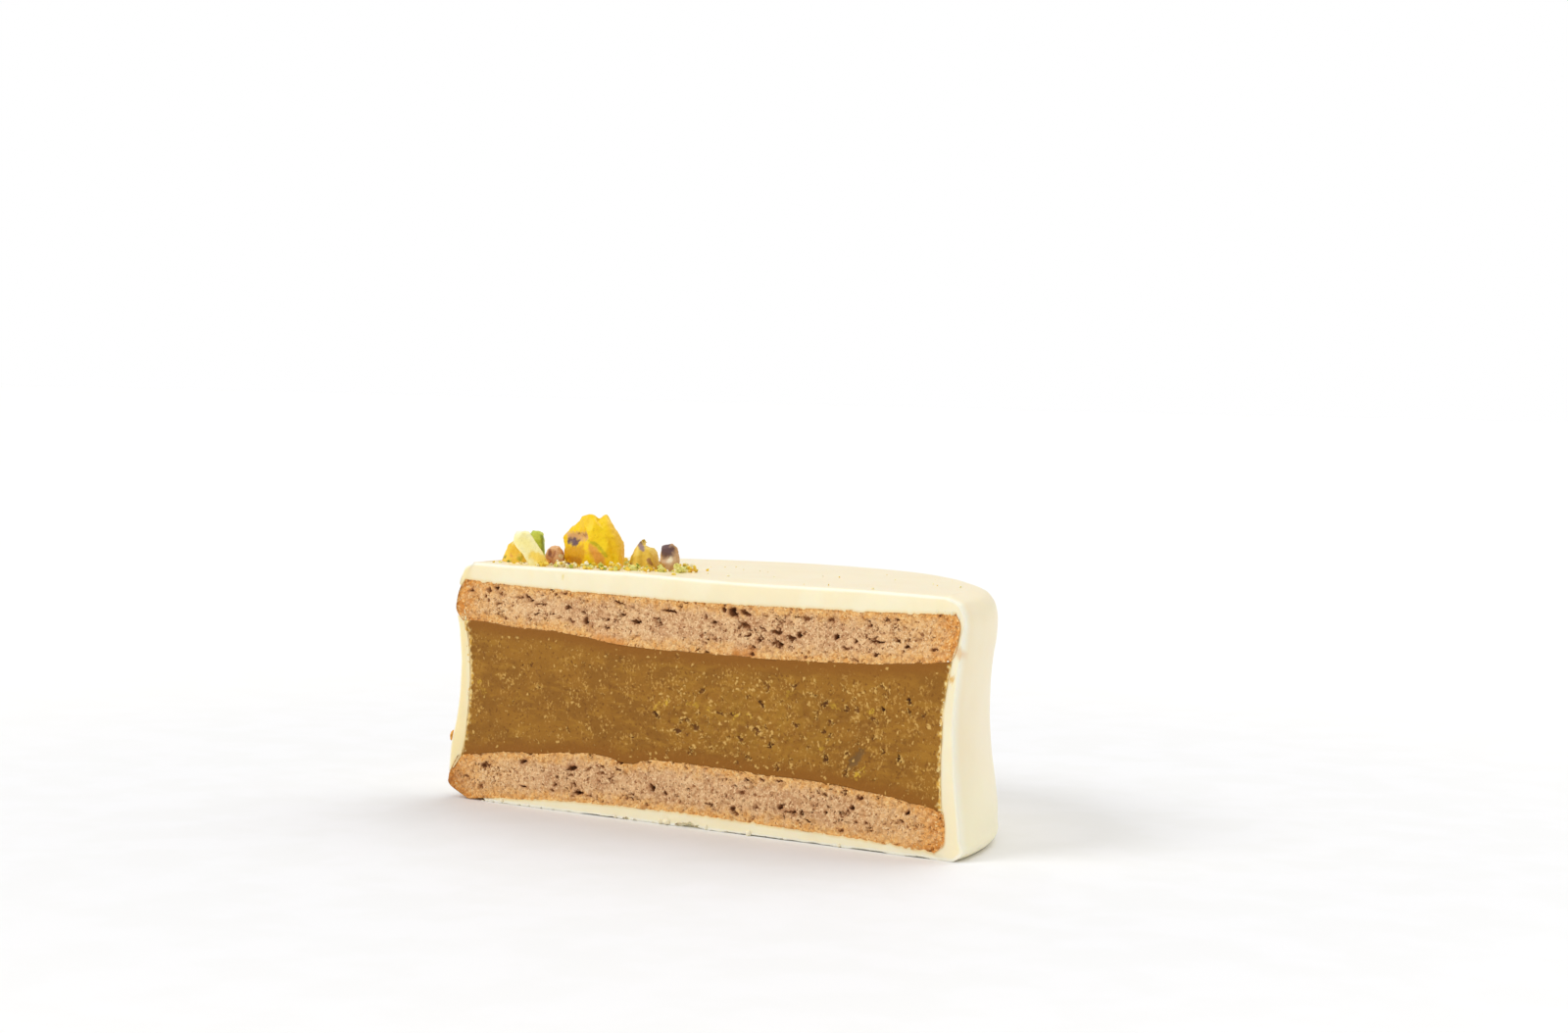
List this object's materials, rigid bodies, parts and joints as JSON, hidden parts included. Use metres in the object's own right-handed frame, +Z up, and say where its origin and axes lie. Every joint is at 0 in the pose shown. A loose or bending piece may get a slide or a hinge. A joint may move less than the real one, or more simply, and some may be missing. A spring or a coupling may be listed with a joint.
{
  "type": "alfajor",
  "caption": "Half of a round alfajor, cut straight: thick caramel-coloured filling between domed biscuits, wrapped in a white coating, chopped nuts on top.",
  "frame": {"origin": "middle of the bounding box on the base, so the straight cut is 17 mm in front of it", "axes": "+X along the cut to the right of someone who looks at it, -Y out of the cut face, +Z up from the base to the nuts"},
  "size_m": [0.0677, 0.034, 0.0334],
  "materials": {
    "coating": "smooth ivory-white confectionery coating, satin",
    "biscuit": "baked fine-pored crumb with a golden brown crust",
    "filling": "dense caramel-coloured paste with small pits, faintly glossy",
    "nut_yellow": "chopped nut, bright yellow cut face",
    "nut_ochre": "chopped nut, ochre with brown skin",
    "nut_pale": "chopped nut, pale cut face",
    "nut_green": "chopped nut, green cut face",
    "nut_skin": "chopped nut with purple-brown skin"
  },
  "bodies": {
    "root": {"coating": "coating", "top_biscuit": "biscuit", "filling": "filling", "bottom_biscuit": "biscuit", "nut_wedge": "nut_ochre", "nut_sliver": "nut_pale", "nut_green": "nut_green", "nut_brown": "nut_skin", "nut_large": "nut_yellow", "nut_mixed": "nut_ochre", "nut_skin": "nut_skin"}
  },
  "joints": []
}
